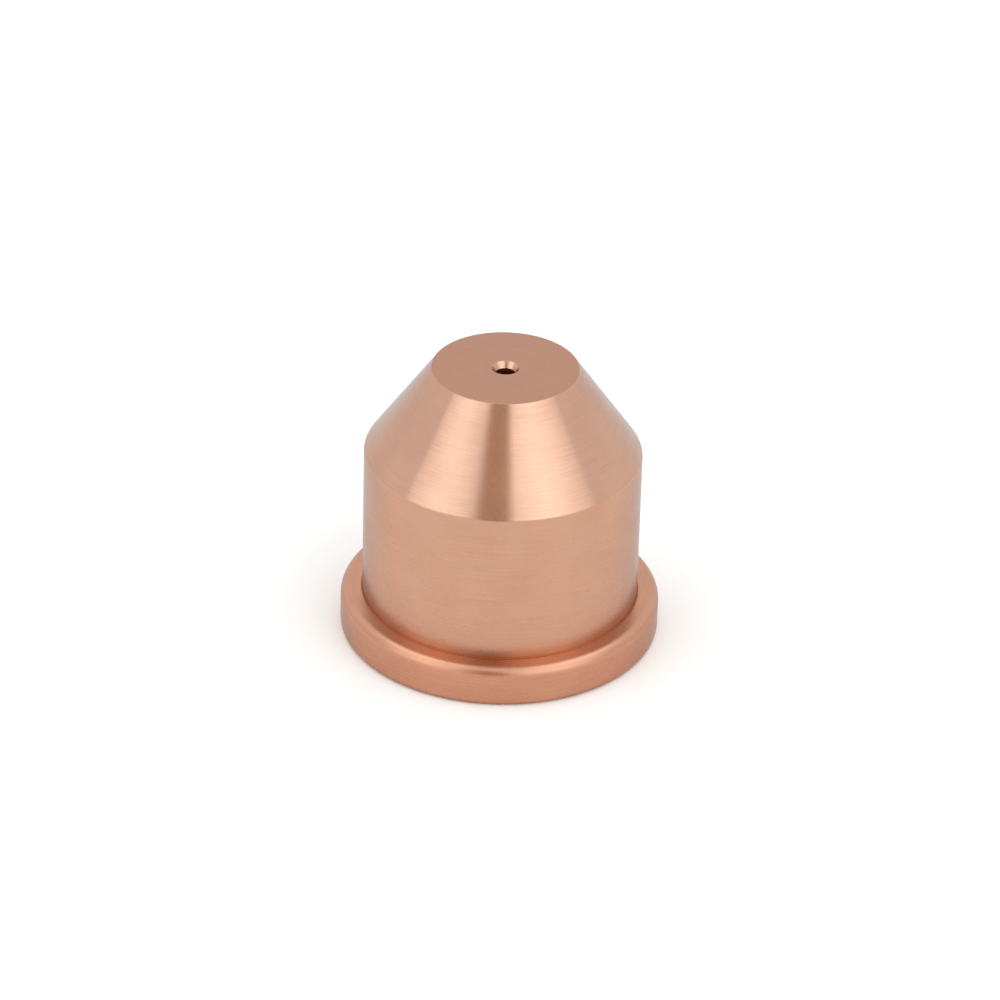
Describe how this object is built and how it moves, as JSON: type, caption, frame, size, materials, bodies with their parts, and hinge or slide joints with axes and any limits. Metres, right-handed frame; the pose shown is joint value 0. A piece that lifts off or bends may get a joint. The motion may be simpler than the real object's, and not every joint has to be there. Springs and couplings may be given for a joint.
{
  "type": "plasma torch nozzle",
  "caption": "Turned copper nozzle with a flanged foot, cylindrical body, conical top and small countersunk gas orifice; hollow and open underneath.",
  "frame": {"origin": "middle of the flange's underside, on the nozzle's axis", "axes": "+Z along the nozzle's axis, from the flange to the orifice; X and Y are any two directions square to it"},
  "size_m": [0.022, 0.022, 0.0201],
  "materials": {
    "turned_copper": "bare copper, finely turned, satin"
  },
  "bodies": {
    "root": {"nozzle": "turned_copper"}
  },
  "joints": []
}
